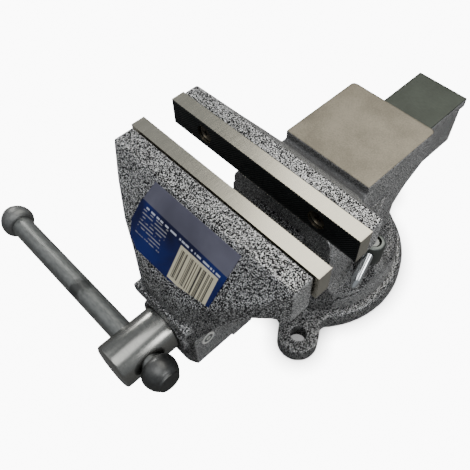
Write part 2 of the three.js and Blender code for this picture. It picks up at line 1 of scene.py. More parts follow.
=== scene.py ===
"""Bench vise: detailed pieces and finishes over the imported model. Metres, in the model's frame."""

import math

import bpy
from mathutils import Matrix, Vector


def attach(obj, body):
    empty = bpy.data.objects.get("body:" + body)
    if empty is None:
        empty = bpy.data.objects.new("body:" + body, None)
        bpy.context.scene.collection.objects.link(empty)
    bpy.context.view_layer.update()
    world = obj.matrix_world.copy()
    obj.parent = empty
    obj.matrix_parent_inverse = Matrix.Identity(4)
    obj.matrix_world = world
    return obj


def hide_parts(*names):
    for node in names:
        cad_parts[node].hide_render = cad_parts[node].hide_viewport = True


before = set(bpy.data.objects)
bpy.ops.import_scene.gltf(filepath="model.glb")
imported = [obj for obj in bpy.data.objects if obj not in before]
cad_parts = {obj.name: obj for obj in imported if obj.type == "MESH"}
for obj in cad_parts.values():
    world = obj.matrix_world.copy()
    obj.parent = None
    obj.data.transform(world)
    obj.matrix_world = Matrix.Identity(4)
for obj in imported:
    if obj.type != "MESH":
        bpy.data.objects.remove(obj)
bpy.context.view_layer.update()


# ---------------------------------------------------------------- sizes, mm unless noted

MM = 0.001

SCREW_AXIS = 54.5  # height of the screw's axis
HANDLE_Y = -141.0  # where the handle crosses the screw's head
TILT = math.radians(4.2)  # the handle's right end is this much up
HANDLE_R = 6.4
CROSS_HOLE_R = 6.7

THREAD_R = 6.7  # middle of the thread's section
THREAD_PITCH = 5
THREAD_TURNS = 38
THREAD_START = -86

PLATE_HALF = 62.5
PLATE_BOTTOM, PLATE_MID, PLATE_TOP = 113, 121, 129
PLATE_DEPTH = 8.2
FIXED_FACE_Y, MOVING_FACE_Y = -55.0, -72.8
TOOTH, TOOTH_PITCH, TOOTH_ROWS = 0.36, 1.1, 92

PLATE_SCREW_X = 38
SCREW_HEAD_R, SCREW_SHANK_R = 4.6, 3
SCREW_RIM, SCREW_CONE = 2, 4.5  # depths below the plate's face
SCREW_HOLE_GAP = 0.4
RECESS_LONG, RECESS_WIDE, RECESS_DEPTH, RECESS_TAPER = 5, 1.1, 3.9, 0.45

LOCK_X = 43
LEVER_Z = 50
LEVER_LEAN = math.radians(114)  # from straight up
LEVER_YAW = {"right": math.radians(-74), "left": math.radians(-106)}

VOXEL = 0.62
SMOOTH_ROUNDS = 3
FACES_KEPT = 0.4  # share of a casting's faces kept once its edges are rounded

ALONG_Y = Matrix.Rotation(math.radians(-90), 4, "X")
ALONG_X = Matrix.Rotation(math.radians(90), 4, "Y")
TURNED = Matrix.Translation((0, 0, SCREW_AXIS * MM)) @ Matrix.Rotation(-TILT, 4, "Y")


# ---------------------------------------------------------------- modelling helpers


def only(obj):
    """Select this object alone and make it active."""
    bpy.ops.object.select_all(action="DESELECT")
    obj.select_set(True)
    bpy.context.view_layer.objects.active = obj


def shift(x, y, z):
    return Matrix.Translation((x * MM, y * MM, z * MM))


def apply_modifier(obj, kind, **settings):
    only(obj)
    modifier = obj.modifiers.new(kind.lower(), kind)
    for key, value in settings.items():
        setattr(modifier, key, value)
    bpy.ops.object.modifier_apply(modifier=modifier.name)


def smooth(obj, angle=32):
    only(obj)
    bpy.ops.object.shade_smooth_by_angle(angle=math.radians(angle))


def face_out(obj):
    only(obj)
    bpy.ops.object.mode_set(mode="EDIT")
    bpy.ops.mesh.select_all(action="SELECT")
    bpy.ops.mesh.normals_make_consistent(inside=False)
    bpy.ops.object.mode_set(mode="OBJECT")


def turned(name, profile, sides=96):
    """A solid of revolution along +Z through [radius, height] points in mm."""
    radius, height = profile[0]
    bpy.ops.object.select_all(action="DESELECT")
    bpy.ops.mesh.primitive_circle_add(
        vertices=sides, radius=radius * MM, fill_type="NGON", location=(0, 0, height * MM)
    )
    obj = bpy.context.active_object
    obj.name = name
    bpy.ops.object.transform_apply(location=True)
    bpy.ops.object.mode_set(mode="EDIT")
    bpy.ops.mesh.select_all(action="SELECT")
    for next_radius, next_height in profile[1:]:
        rise = (next_height - height) * MM
        bpy.ops.mesh.extrude_region_move(TRANSFORM_OT_translate={"value": (0, 0, rise)})
        ratio = next_radius / radius
        bpy.ops.transform.resize(
            value=(ratio, ratio, 1), center_override=(0, 0, next_height * MM)
        )
        radius, height = next_radius, next_height
    bpy.ops.object.mode_set(mode="OBJECT")
    face_out(obj)
    return obj


def block(name, xs, ys, zs):
    """A box between the given [low, high] pairs in mm."""
    size = [(b - a) * MM for a, b in (xs, ys, zs)]
    centre = [(a + b) / 2 * MM for a, b in (xs, ys, zs)]
    bpy.ops.object.select_all(action="DESELECT")
    bpy.ops.mesh.primitive_cube_add(size=1, location=centre, scale=size)
    obj = bpy.context.active_object
    obj.name = name
    bpy.ops.object.transform_apply(location=True, rotation=True, scale=True)
    return obj


def cut(obj, *cutters):
    for cutter in cutters:
        apply_modifier(obj, "BOOLEAN", object=cutter, operation="DIFFERENCE", solver="EXACT")
        bpy.data.objects.remove(cutter)


def place(obj, matrix):
    obj.data.transform(matrix)
    return obj


def dress(obj, body, materials, nodes):
    """Give a finished piece its materials and its body, and hide the CAD nodes it stands for."""
    obj.data.materials.clear()
    for material in materials:
        obj.data.materials.append(material)
    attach(obj, body)
    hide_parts(*nodes)


def finish_by_place(obj, rules):
    """Material slots by where a face is: the last rule that holds gives the slot."""
    for face in obj.data.polygons:
        x, y, z = face.center / MM
        for index, holds in enumerate(rules, start=1):
            if holds(x, y, z, face.normal):
                face.material_index = index


# ---------------------------------------------------------------- shader helpers


class Tree:
    """Short way to add and join shader nodes."""

    def __init__(self, tree):
        self.tree = tree

    def add(self, kind, settings=None, **inputs):
        node = self.tree.nodes.new("ShaderNode" + kind)
        for key, value in (settings or {}).items():
            setattr(node, key, value)
        for key, value in inputs.items():
            self.feed(node.inputs[key], value)
        return node

    def feed(self, socket, value):
        if isinstance(value, bpy.types.NodeSocket):
            self.tree.links.new(value, socket)
        else:
            socket.default_value = value

    def noise(self, vector, scale, detail=2.0, rough=0.5, twist=0.0):
        return self.add(
            "TexNoise", Vector=vector, Scale=scale, Detail=detail, Roughness=rough, Distortion=twist
        ).outputs[0]

    def ranged(self, value, low, high, to_low=0.0, to_high=1.0):
        node = self.add("MapRange", Value=value)
        for key, number in (
            ("From Min", low), ("From Max", high), ("To Min", to_low), ("To Max", to_high),
        ):
            self.feed(node.inputs[key], number)
        return node.outputs[0]

    def mix(self, factor, a, b):
        """Colour mix. The Mix node's colour sockets are 6, 7 and output 2."""
        node = self.add("Mix", {"data_type": "RGBA"})
        self.feed(node.inputs[0], factor)
        self.feed(node.inputs[6], a)
        self.feed(node.inputs[7], b)
        return node.outputs[2]

    def math(self, operation, a, b=0.0):
        node = self.add("Math", {"operation": operation})
        self.feed(node.inputs[0], a)
        self.feed(node.inputs[1], b)
        return node.outputs[0]

    def times(self, a, b):
        return self.math("MULTIPLY", a, b)

    def bump(self, height, strength, distance):
        return self.add("Bump", Height=height, Strength=strength, Distance=distance).outputs[0]

    def stretched(self, vector, scale):
        return self.add("Mapping", Vector=vector, Scale=scale).outputs[0]

    def split(self, vector):
        return self.add("SeparateXYZ", Vector=vector).outputs

    def place_group(self, group, **inputs):
        node = self.tree.nodes.new("ShaderNodeGroup")
        node.node_tree = group
        for key, value in inputs.items():
            self.feed(node.inputs[key], value)
        return node.outputs


def grey(value):
    return (value, value, value, 1)


def material(name):
    """A new material: itself, its Tree, its Object coordinates and its Principled shader."""
    made = bpy.data.materials.new(name)
    made.use_nodes = True
    t = Tree(made.node_tree)
    here = t.add("TexCoord").outputs["Object"]
    return made, t, here, made.node_tree.nodes["Principled BSDF"]


# ---------------------------------------------------------------- shared effects

FLOAT = "NodeSocketFloat"
VECTOR = "NodeSocketVector"


def group(name, inputs, outputs):
    """A shader node group with float or vector inputs and float outputs."""
    tree = bpy.data.node_groups.new(name, "ShaderNodeTree")
    for label, kind, value in inputs:
        socket = tree.interface.new_socket(label, in_out="INPUT", socket_type=kind)
        if value is not None:
            socket.default_value = value
    for label in outputs:
        tree.interface.new_socket(label, in_out="OUTPUT", socket_type=FLOAT)
    enter = tree.nodes.new("NodeGroupInput")
    leave = tree.nodes.new("NodeGroupOutput")
    return Tree(tree), enter.outputs, leave.inputs


def make_speckle():
    """Hammertone paint: short dark worms between silver islands. 1 is silver."""
    t, given, out = group(
        "hammertone speckle",
        [("Vector", VECTOR, None), ("Size", FLOAT, 1.0), ("Dark", FLOAT, 0.5)],
        ["Silver"],
    )
    fine = t.noise(given["Vector"], t.math("DIVIDE", 2050.0, given["Size"]), 0.6, 0.5, 0.8)
    patch = t.noise(given["Vector"], 90.0, 1.0)
    level = t.math("ADD", fine, t.times(t.math("SUBTRACT", patch, 0.5), 0.06))
    low = t.math("SUBTRACT", given["Dark"], 0.008)
    high = t.math("ADD", given["Dark"], 0.012)
    t.feed(out["Silver"], t.ranged(level, low, high))
    return t.tree


def make_scratches():
    """Fine grinding marks along the vector's second direction, and slow tone changes."""
    t, given, out = group(
        "grinding marks",
        [("Vector", VECTOR, None), ("Across", FLOAT, 2600.0), ("Along", FLOAT, 90.0)],
        ["Marks", "Tone"],
    )
    scale = t.add("CombineXYZ", X=given["Across"], Y=given["Along"], Z=given["Across"])
    drawn_out = t.stretched(given["Vector"], scale.outputs[0])
    t.feed(out["Marks"], t.noise(drawn_out, 1.0, 3.0, 0.6))
    t.feed(out["Tone"], t.noise(given["Vector"], 45.0, 4.0, 0.6))
    return t.tree


def make_wear_and_glint():
    """Outer edges, partly bare metal where the paint has rubbed off and partly a painted highlight
    for edge glints: 1 on such an edge.
    """
    t, given, out = group("edge wear and painted glint", [("Vector", VECTOR, None)], ["Worn"])
    point = t.add("NewGeometry").outputs["Pointiness"]
    broken = t.noise(given["Vector"], 420.0, 3.0, 0.6)
    t.feed(out["Worn"], t.times(t.ranged(point, 0.53, 0.6), t.ranged(broken, 0.42, 0.56)))
    return t.tree


SPECKLE = make_speckle()
SCRATCHES = make_scratches()
WEAR_AND_GLINT = make_wear_and_glint()


# ---------------------------------------------------------------- finishes

CALM_COLOUR = (0.15, 0.155, 0.155, 1)  # the silver where the paint has run smooth
PAINT_COAT, CALM_COAT = 0.05, 0.3


def hammertone(name, silver, dark, size=1.0, level=0.5, calm=None, shade=(0.04, 0.118, 0.55)):
    """Speckled paint. calm(t, here) returns a mask that is 1 where the paint is smooth.

    shade paints shade into the colour, darker towards the bottom: it gives the height where
    the silver is darkest, the height where it is full, and the share of it left at the bottom.
    """
    made, t, here, shader = material(name)
    flakes = t.place_group(SPECKLE, Vector=here, Size=size, Dark=level)["Silver"]
    rubbed_and_glinting = t.place_group(WEAR_AND_GLINT, Vector=here)["Worn"]
    shade_darkest_height, fullest, left = shade
    # painted shade: the silver darkens towards the bottom, by height
    bright = t.ranged(t.split(here)["Z"], shade_darkest_height, fullest, left, 1.0)
    relief = flakes
    silver_colour = grey(silver)
    if calm:
        mask = calm(t, here)
        flakes = t.math("MAXIMUM", flakes, t.times(mask, 0.42))
        relief = t.times(relief, t.math("SUBTRACT", 1.0, t.times(mask, 0.85)))
        silver_colour = t.mix(mask, silver_colour, CALM_COLOUR)
        # no painted shade on the smooth paint
        bright = t.math("MAXIMUM", bright, mask)
    colour = t.mix(t.times(flakes, bright), grey(dark), silver_colour)
    # outer edges mixed towards grey: rubbed paint, and painted highlight for edge glints
    colour = t.mix(t.times(rubbed_and_glinting, 0.35), colour, grey(0.5))
    rough = t.ranged(flakes, 0, 1, 0.65, 0.36)
    coat = PAINT_COAT
    if calm:
        rough = t.math("SUBTRACT", rough, t.times(mask, 0.12))
        coat = t.ranged(mask, 0, 1, PAINT_COAT, CALM_COAT)
    t.feed(shader.inputs["Base Color"], colour)
    t.feed(shader.inputs["Metallic"], t.ranged(flakes, 0, 1, 0.0, 0.5))
    t.feed(shader.inputs["Roughness"], rough)
    t.feed(shader.inputs["Coat Weight"], coat)
    shader.inputs["Specular IOR Level"].default_value = 0.12
    shader.inputs["Coat Roughness"].default_value = 0.15
    t.feed(shader.inputs["Normal"], t.bump(relief, 0.6, 0.00022))
    return made


def bare_metal(
    name, colour, rough, across=2600.0, along=90.0, mottle=0.12, marks=0.25, stain=None
):
    """Metal with grinding marks. stain(t, here, tint) may change the tint."""
    made, t, here, shader = material(name)
    lines = t.place_group(SCRATCHES, Vector=here, Across=across, Along=along)
    dull = tuple(c * (1 - 2.2 * mottle) for c in colour)
    blotch = t.times(t.math("ADD", lines["Tone"], lines["Marks"]), 0.5)
    tint = t.mix(t.ranged(blotch, 0.4, 0.6), (*dull, 1), (*colour, 1))
    t.feed(shader.inputs["Base Color"], stain(t, here, tint) if stain else tint)
    shader.inputs["Metallic"].default_value = 1.0
    t.feed(
        shader.inputs["Roughness"],
        t.ranged(lines["Marks"], 0.25, 0.75, rough * 0.88, rough * 1.15),
    )
    t.feed(shader.inputs["Normal"], t.bump(lines["Marks"], marks, 0.0001))
    return made


def calm_bar(t, here):
    """Smooth paint on the sides of the slide bar."""
    return t.ranged(t.split(here)["Y"], -0.034, -0.030)


def calm_fixed(t, here):
    """Smooth paint on the anvil's sides and in the valley, fading out up the sloping back."""
    at = t.split(here)
    rear = t.ranged(at["Y"], -0.037, -0.034)
    high = t.ranged(at["Z"], 0.060, 0.074)
    fading = t.math("SUBTRACT", 1.0, t.ranged(at["Z"], 0.078, 0.100, 0.0, 0.75))
    return t.times(t.times(rear, high), fading)


SMUDGE_X = -0.050  # metres


def smudge(t, here, colour):
    """A dark smear across the handle bar."""
    off = t.math("ABSOLUTE", t.math("SUBTRACT", t.split(here)["X"], SMUDGE_X))
    ragged = t.math("ADD", off, t.times(t.noise(here, 160.0, 3.0), 0.012))
    return t.mix(t.ranged(ragged, 0.012, 0.008, 0.0, 0.75), colour, (0.06, 0.062, 0.06, 1))


paint_moving = hammertone(
    "hammertone on the moving jaw", silver=0.82, dark=0.004, level=0.563, calm=calm_bar
)
paint_fixed = hammertone(
    "hammertone on the fixed jaw", silver=0.82, dark=0.004, level=0.55, calm=calm_fixed
)
paint_walls = hammertone(
    "fine hammertone on the walls", silver=0.8, dark=0.03, size=0.85, shade=(0.03, 0.118, 0.75)
)
paint_base = hammertone(
    "hammertone on the base", silver=0.62, dark=0.004, level=0.55, shade=(0, 0.001, 1)
)
anvil_steel = bare_metal(
    "ground anvil face", (0.30, 0.272, 0.215), 0.5, across=1100, along=1100, mottle=0.16, marks=0.5
)
# The bar's top: near-black green tint, partly oil and partly a painted dark greenish reflection on
# the machined face.
oiled_bar_and_reflection = bare_metal(
    "oiled slide bar with painted dark reflection", (0.062, 0.07, 0.06), 0.36, across=300, along=1500, marks=0.1
)
plate_steel = bare_metal(
    "ground jaw plate", (0.58, 0.55, 0.455), 0.24, across=1700, along=140, mottle=0.04, marks=0.012
)
# Nearly black: painted shade for the gripping face in the gap between the jaws and between its
# teeth.
serration_in_shade = bare_metal(
    "serrated plate face in painted shade", (0.045, 0.05, 0.05), 0.4, across=900, along=900
)
turned_steel = bare_metal(
    "turned steel", (0.33, 0.33, 0.31), 0.24, across=500, along=2600, mottle=0.1, marks=0.2
)
zinc_steel = bare_metal(
    "dull zinc", (0.31, 0.32, 0.31), 0.42, across=300, along=900, mottle=0.14, marks=0.12
)
handle_zinc = bare_metal(
    "smeared handle zinc", (0.31, 0.32, 0.31), 0.42, across=300, along=900, mottle=0.14,
    marks=0.12, stain=smudge,
)
bright_zinc = bare_metal(
    "bright zinc", (0.7, 0.72, 0.73), 0.13, across=900, along=2600, mottle=0.04, marks=0.1
)
# Two tones of one knob steel: the left knob's lighter tone is painted light for the even light on
# it, the right knob's darker tone is painted shade.
lit_knob_steel = bare_metal(
    "turned knob, painted lit tone", (0.25, 0.255, 0.25), 0.5, across=700, along=700, marks=0.2
)
shaded_knob_steel = bare_metal(
    "turned knob, painted shaded tone", (0.13, 0.132, 0.13), 0.42, across=700, along=700, marks=0.2
)
# Dark brownish: the brassy tint of yellow zinc, darkened with painted shade for the screw heads sunk
# in the gripping face.
yellow_zinc_in_shade = bare_metal(
    "yellow zinc darkened with painted shade", (0.045, 0.034, 0.02), 0.3, across=900, along=900, mottle=0.1, marks=0.1
)
nut_steel = bare_metal(
    "greyed nut steel", (0.16, 0.175, 0.165), 0.34, across=900, along=900, mottle=0.1, marks=0.1
)
spring_steel = bare_metal(
    "spring steel", (0.12, 0.12, 0.12), 0.35, across=900, along=900, mottle=0.1, marks=0.1
)
nut_iron = bare_metal(
    "bare nut iron", (0.12, 0.115, 0.11), 0.5, across=700, along=700, mottle=0.2, marks=0.3
)


# ---------------------------------------------------------------- castings


def casting(node, name):
    """A cast copy of a CAD node with soft edges."""
    obj = bpy.data.objects.new(name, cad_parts[node].data.copy())
    bpy.context.scene.collection.objects.link(obj)
    only(obj)
    bpy.ops.object.mode_set(mode="EDIT")
    bpy.ops.mesh.select_all(action="SELECT")
    bpy.ops.mesh.remove_doubles(threshold=1e-6)
    bpy.ops.object.mode_set(mode="OBJECT")
    apply_modifier(obj, "REMESH", mode="VOXEL", voxel_size=VOXEL * MM)
    apply_modifier(obj, "SMOOTH", factor=0.5, iterations=SMOOTH_ROUNDS)
    apply_modifier(obj, "DECIMATE", ratio=FACES_KEPT)
    only(obj)
    bpy.ops.object.shade_smooth()
    return obj


def is_wall(x, y, z, n):
    """A face that looks straight to the right or left, where the coat is finer."""
    return abs(n.x) > 0.8


def is_anvil_top(x, y, z, n):
    return z > 90.2 and y > 0.6 and n.z > 0.8


def is_bar_top(x, y, z, n):
    return y > -33 and z > 68 and n.z > 0.5


base = casting("swivel_base", "swivel_base_casting")
dress(base, "base", [paint_base], ["swivel_base"])

fixed = casting("fixed_jaw_body", "fixed_jaw_casting")
dress(
    fixed, "body", [paint_fixed, paint_walls, anvil_steel], ["fixed_jaw_body"]
)
finish_by_place(fixed, [is_wall, is_anvil_top])

moving = casting("moving_jaw", "moving_jaw_casting")
dress(
    moving, "moving_jaw", [paint_moving, paint_walls, oiled_bar_and_reflection], ["moving_jaw"]
)
finish_by_place(moving, [is_wall, is_bar_top])


# ---------------------------------------------------------------- jaw plates and screws


def into_plate(face_y, side, x):
    """Takes +Z at the origin to a plate screw's axis, pointing into the casting."""
    return shift(x, face_y, PLATE_MID) @ Matrix.Rotation(math.radians(-90 * side), 4, "X")


def countersink(face_y, side, x):
    """Cutter for a plate screw's hole, a little larger than the screw."""
    head, shank = SCREW_HEAD_R + SCREW_HOLE_GAP, SCREW_SHANK_R + SCREW_HOLE_GAP
    profile = [(head, -1), (head, SCREW_RIM), (shank, SCREW_CONE), (shank, 9.5)]
    return place(turned("countersink", profile, 48), into_plate(face_y, side, x))


def serrated_plate(name, face_y, side):
    """Jaw plate whose gripping face is a field of small pyramids."""
    bpy.ops.object.select_all(action="DESELECT")
    bpy.ops.mesh.primitive_grid_add(
        x_subdivisions=TOOTH_ROWS,
        y_subdivisions=TOOTH_ROWS,
        size=TOOTH_PITCH * TOOTH_ROWS * MM,
        rotation=(math.radians(90), math.radians(45), 0),
        location=(0, (face_y + side * TOOTH) * MM, PLATE_MID * MM),
    )
    obj = bpy.context.active_object
    obj.name = name
    bpy.ops.object.transform_apply(location=True, rotation=True)
    bpy.ops.object.mode_set(mode="EDIT")
    edges = [
        ((PLATE_HALF, 0, 0), (1, 0, 0)), ((-PLATE_HALF, 0, 0), (-1, 0, 0)),
        ((0, 0, PLATE_TOP), (0, 0, 1)), ((0, 0, PLATE_BOTTOM), (0, 0, -1)),
    ]
    for point, normal in edges:
        bpy.ops.mesh.select_all(action="SELECT")
        bpy.ops.mesh.bisect(
            plane_co=[c * MM for c in point], plane_no=normal, clear_outer=True
        )
    bpy.ops.mesh.select_all(action="SELECT")
    bpy.ops.mesh.normals_make_consistent(inside=False)
    bpy.ops.object.mode_set(mode="OBJECT")
    outward = obj.data.polygons[0].normal.y * -side
    bpy.ops.object.mode_set(mode="EDIT")
    bpy.ops.mesh.select_all(action="SELECT")
    if outward < 0:
        bpy.ops.mesh.flip_normals()
    bpy.ops.mesh.poke(offset=TOOTH * MM)
    bpy.ops.mesh.select_all(action="DESELECT")
    bpy.ops.mesh.select_mode(type="EDGE")
    bpy.ops.mesh.select_non_manifold()
    bpy.ops.mesh.extrude_region_move(
        TRANSFORM_OT_translate={"value": (0, side * (PLATE_DEPTH - TOOTH) * MM, 0)}
    )
    bpy.ops.mesh.edge_face_add()
    bpy.ops.mesh.select_mode(type="VERT")
    bpy.ops.object.mode_set(mode="OBJECT")
    face_out(obj)
    cut(
        obj,
        countersink(face_y, side, PLATE_SCREW_X),
        countersink(face_y, side, -PLATE_SCREW_X),
    )
    smooth(obj, 15)
    return obj


def grip_rule(face_y):
    """Rule that holds on a plate's gripping face."""
    return lambda x, y, z, n: abs(y - face_y) < 0.9 and abs(n.y) > 0.3


def recess_wing(long_x, long_y):
    """One arm of the cross in a screw's head, narrower at its bottom."""
    wing = block(
        "wing", (-long_x / 2, long_x / 2), (-long_y / 2, long_y / 2), (0, RECESS_DEPTH)
    )
    only(wing)
    bpy.ops.object.mode_set(mode="EDIT")
    bpy.ops.mesh.select_all(action="DESELECT")
    bpy.ops.object.mode_set(mode="OBJECT")
    for vertex in wing.data.vertices:
        vertex.select = vertex.co.z > RECESS_DEPTH / 2 * MM
    bpy.ops.object.mode_set(mode="EDIT")
    bpy.ops.transform.resize(
        value=(RECESS_TAPER, RECESS_TAPER, 1), center_override=(0, 0, RECESS_DEPTH * MM)
    )
    bpy.ops.object.mode_set(mode="OBJECT")
    return wing


def plate_screw(name, face_y, side, x):
    head = [(3.9, 1.4), (4.5, 1.6), (SCREW_HEAD_R, SCREW_RIM), (SCREW_SHANK_R, SCREW_CONE)]
    screw = turned(name, head + [(SCREW_SHANK_R, 15.6), (2.2, 16.9)], 64)
    cut(screw, recess_wing(RECESS_LONG, RECESS_WIDE), recess_wing(RECESS_WIDE, RECESS_LONG))
    smooth(screw)
    return place(screw, into_plate(face_y, side, x))


for jaw, body, face_y, side in (
    ("fixed", "body", FIXED_FACE_Y, 1),
    ("moving", "moving_jaw", MOVING_FACE_Y, -1),
):
    plate = serrated_plate(f"{jaw}_plate_serrated", face_y, side)
    dress(plate, body, [plate_steel, serration_in_shade], [f"{jaw}_jaw_plate"])
    finish_by_place(plate, [grip_rule(face_y)])
    for end, x in (("right", PLATE_SCREW_X), ("left", -PLATE_SCREW_X)):
        screw = plate_screw(f"{jaw}_screw_{end}", face_y, side, x)
        dress(
            screw, body, [yellow_zinc_in_shade], [f"{jaw}_plate_screw_{end}"]
        )


# ---------------------------------------------------------------- screw, handle and knobs


def spindle_piece():
    """Drilled head, journal and core of the screw."""
    head = turned(
        "spindle_turned",
        [
            (1.2, -155.9), (2.4, -157), (11.6, -157), (12.6, -156.5), (13, -155.6),
            (13, -121.4), (12.4, -120.6), (7.5, -120.6), (7.5, -88), (6.1, -86.5), (6.1, 113.5),
            (5, 115),
        ],
    )
    place(head, ALONG_Y)
    hole = turned("cross_hole", [(CROSS_HOLE_R, -20), (CROSS_HOLE_R, 20)], 64)
    cut(head, place(hole, shift(0, HANDLE_Y, 0) @ ALONG_X))
    return head


def thread_piece():
    """Square thread wound on the screw's core."""
    bpy.ops.object.select_all(action="DESELECT")
    bpy.ops.mesh.primitive_plane_add(size=1, rotation=(math.radians(90), 0, 0))
    obj = bpy.context.active_object
    obj.name = "thread_wound"
    obj.scale = (1.7 * MM, 2.4 * MM, 1)
    bpy.ops.object.transform_apply(rotation=True, scale=True)
    place(obj, shift(THREAD_R, 0, THREAD_START))
    apply_modifier(
        obj, "SCREW", axis="Z", angle=2 * math.pi, screw_offset=THREAD_PITCH * MM,
        iterations=THREAD_TURNS, steps=32, render_steps=32, use_merge_vertices=False,
    )
    face_out(obj)
    return place(obj, ALONG_Y)


def spring_piece():
    """Take-up spring behind the screw's collar."""
    bpy.ops.object.select_all(action="DESELECT")
    bpy.ops.mesh.primitive_circle_add(
        vertices=14, radius=0.9 * MM, fill_type="NOTHING", rotation=(math.radians(90), 0, 0)
    )
    obj = bpy.context.active_object
    obj.name = "take_up_spring_wound"
    bpy.ops.object.transform_apply(rotation=True)
    place(obj, shift(9.3, 0, -103.5))
    apply_modifier(
        obj, "SCREW", axis="Z", angle=2 * math.pi, screw_offset=2.4 * MM, iterations=4,
        steps=40, render_steps=40,
    )
    face_out(obj)
    smooth(obj, 60)
    return place(obj, TURNED @ ALONG_Y)


def knob(name, side, start):
    """Round knob with a flat end, pressed on the handle bar from start outward."""
    shape = turned(
        name,
        [
            (4.3, 0.3), (7.2, 0.3), (8.2, 0.8), (9.2, 1.9), (9.8, 3.3), (10, 4.8), (9.9, 6.4),
            (9.5, 8.2), (8.9, 9.8), (8.1, 11.2), (7.2, 12.3), (6.9, 12.4), (6.5, 12.9),
            (6.3, 13.6), (5.6, 13.9), (1.5, 13.9),
        ],
    )
    cut(shape, turned("socket", [(4.3, -1), (4.3, 8.5)], 48))
    smooth(shape, 40)
    turn = Matrix.Rotation(math.radians(90 * side), 4, "Y")
    return place(shape, TURNED @ shift(start, HANDLE_Y, 0) @ turn)


spindle = spindle_piece()
thread = thread_piece()
only(spindle)
thread.select_set(True)
bpy.ops.object.join()
smooth(spindle)
place(spindle, TURNED)
dress(spindle, "spindle", [turned_steel], ["spindle"])

dress(spring_piece(), "spindle", [spring_steel], ["take_up_spring"])

BAR_LEFT, BAR_RIGHT = -118, 13.6  # where the knobs start on the bar

bar = turned(
    "handle_bar_turned",
    [
        (3.4, -126), (4, -125.4), (4, BAR_LEFT), (HANDLE_R, BAR_LEFT),
        (HANDLE_R, BAR_RIGHT), (4, BAR_RIGHT), (4, 21), (3.4, 21.6),
    ],
)
smooth(bar)
place(bar, TURNED @ shift(0, HANDLE_Y, 0) @ ALONG_X)
dress(bar, "handle", [handle_zinc], ["handle_bar"])

for end, side, start, steel in (
    ("right", 1, BAR_RIGHT, shaded_knob_steel), ("left", -1, BAR_LEFT, lit_knob_steel),
):
    dress(
        knob(f"knob_{end}_turned", side, start), "handle", [steel],
        [f"handle_knob_{end}"],
    )


# ---------------------------------------------------------------- swivel locks

for end, side in (("right", 1), ("left", -1)):
    aim = shift(0, 0, LEVER_Z)
    aim = aim @ Matrix.Rotation(LEVER_YAW[end], 4, "Z") @ Matrix.Rotation(LEVER_LEAN, 4, "Y")
    nut = turned(
        f"lock_nut_{end}_turned",
        [(6.1, 38.3), (6.8, 39), (6.8, 52.1), (6.2, 53.3), (5.5, 53.7)],
    )
    cut(
        nut,
        turned("bore", [(4.3, 30), (4.3, 60)], 48),
        place(turned("lever_hole", [(3.3, 4.6), (3.3, 12)], 40), aim),
    )
    smooth(nut)
    place(nut, shift(LOCK_X * side, 0, 0))
    dress(nut, f"{end}_lock", [nut_steel], [f"lock_nut_{end}"])
    lever = turned(
        f"lock_lever_{end}_turned",
        [(2.8, 6.1), (3, 6.4), (3, 23.5), (2.8, 24.2), (1.7, 27.6), (1, 28.5)],
        64,
    )
    smooth(lever)
    place(lever, shift(LOCK_X * side, 0, 0) @ aim)
    dress(lever, f"{end}_lock", [bright_zinc], [f"lock_lever_{end}"])


# ---------------------------------------------------------------- label and sticker

LABEL_SLANT = 0.018  # how fast the print's lines rise to the right
STRIP_FROM, STRIP_FULL = 0.1174, 0.1177  # metres
PRINT_AREAS = {  # left, right, bottom and top, metres
    "rules": (-0.0262, -0.008, 0.1035, 0.1150),
    "title": (-0.025, 0.028, 0.1152, 0.1160),
    "panel": (0.0016, 0.0268, 0.0990, 0.1141),
    "bars": (0.0032, 0.0252, 0.1003, 0.1128),
}

STICKER_CENTRE = (0.0203, -0.1098, 0.0515)  # metres


def label_finish():
    """Grey strip over a blue field, pale ruled lines and a cream panel of plain bars."""
    made, t, here, shader = material("printed front label")
    at = t.split(here)
    x, z = at["X"], at["Z"]
    slanted = t.math("ADD", z, t.times(x, LABEL_SLANT))

    def between(value, low, high, soft=0.00012):
        rise = t.ranged(value, low - soft, low + soft)
        fall = t.ranged(value, high + soft, high - soft)
        return t.times(rise, fall)

    def area(name, height):
        left, right, bottom, top = PRINT_AREAS[name]
        return t.times(between(x, left, right), between(height, bottom, top))

    cloud = t.noise(here, 38.0, 3.0, 0.55, 0.4)
    blue = t.mix(t.ranged(cloud, 0.35, 0.65), (0.002, 0.004, 0.035, 1), (0.006, 0.016, 0.13, 1))
    strip = t.mix(t.ranged(cloud, 0.3, 0.7), (0.085, 0.085, 0.12, 1), (0.14, 0.14, 0.19, 1))
    colour = t.mix(t.ranged(slanted, STRIP_FROM, STRIP_FULL), blue, strip)

    wave = t.add(
        "TexWave", {"bands_direction": "Z"}, Vector=here, Scale=215.0, Distortion=0.0
    ).outputs[1]
    gaps = t.noise(t.stretched(here, (420, 420, 1)), 1.0, 1.0)
    rules = t.times(t.ranged(wave, 0.62, 0.8), t.ranged(gaps, 0.42, 0.5))
    colour = t.mix(t.times(t.times(rules, area("rules", z)), 0.5), colour, grey(0.5))

    dashes = t.ranged(t.noise(t.stretched(here, (700, 1, 1)), 1.0, 0.0), 0.44, 0.47)
    colour = t.mix(t.times(area("title", slanted), dashes), colour, (0.55, 0.58, 0.68, 1))

    bars = t.ranged(t.noise(t.stretched(here, (1500, 1, 1)), 1.0, 0.0), 0.50, 0.47)
    inked = t.times(bars, area("bars", z))
    paper = t.mix(inked, (0.62, 0.57, 0.42, 1), (0.05, 0.045, 0.04, 1))
    colour = t.mix(area("panel", z), colour, paper)

    t.feed(shader.inputs["Base Color"], colour)
    shader.inputs["Roughness"].default_value = 0.38
    shader.inputs["Specular IOR Level"].default_value = 0.3
    t.feed(shader.inputs["Normal"], t.bump(t.noise(here, 300.0, 2.0), 0.12, 0.0003))
    return made


